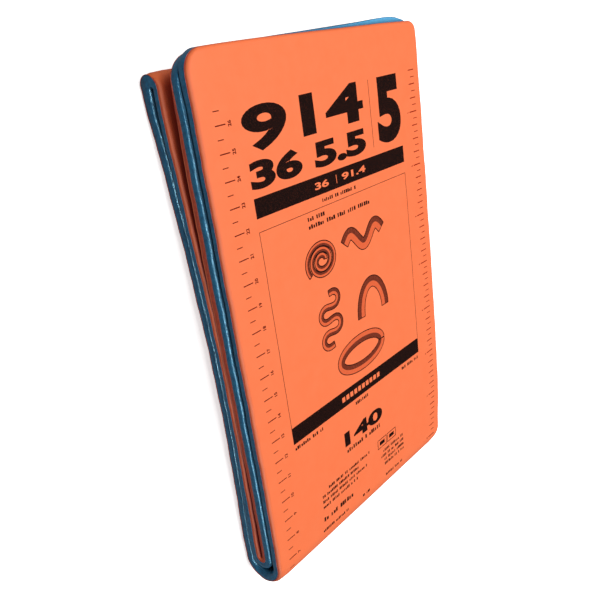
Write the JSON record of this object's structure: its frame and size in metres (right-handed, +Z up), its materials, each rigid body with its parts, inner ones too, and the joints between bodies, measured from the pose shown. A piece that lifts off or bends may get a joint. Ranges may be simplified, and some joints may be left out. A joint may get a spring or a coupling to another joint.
{
  "type": "aluminium foam splint",
  "caption": "Flexible first-aid splint: a long padded strip, orange foam on one side and blue on the other, folded flat into leaves for storage.",
  "frame": {"origin": "middle of the bounding box's underside, on the surface that the folded splint lies on", "axes": "+Z up, out of the printed front leaf; +Y along the strip towards its free ends; +X across the strip, to the right of the print"},
  "size_m": [0.1408, 0.2316, 0.0277],
  "materials": {
    "orange_foam": "orange closed-cell foam with a smooth satin skin, printed with dark ink on the front leaf",
    "blue_foam": "blue closed-cell foam with a smooth satin skin and a finely celled cut edge",
    "print_ink": "black screen-printed ink on the orange foam of the front leaf"
  },
  "bodies": {
    "root": {"orange_foam": "orange_foam", "blue_foam": "blue_foam"}
  },
  "joints": []
}
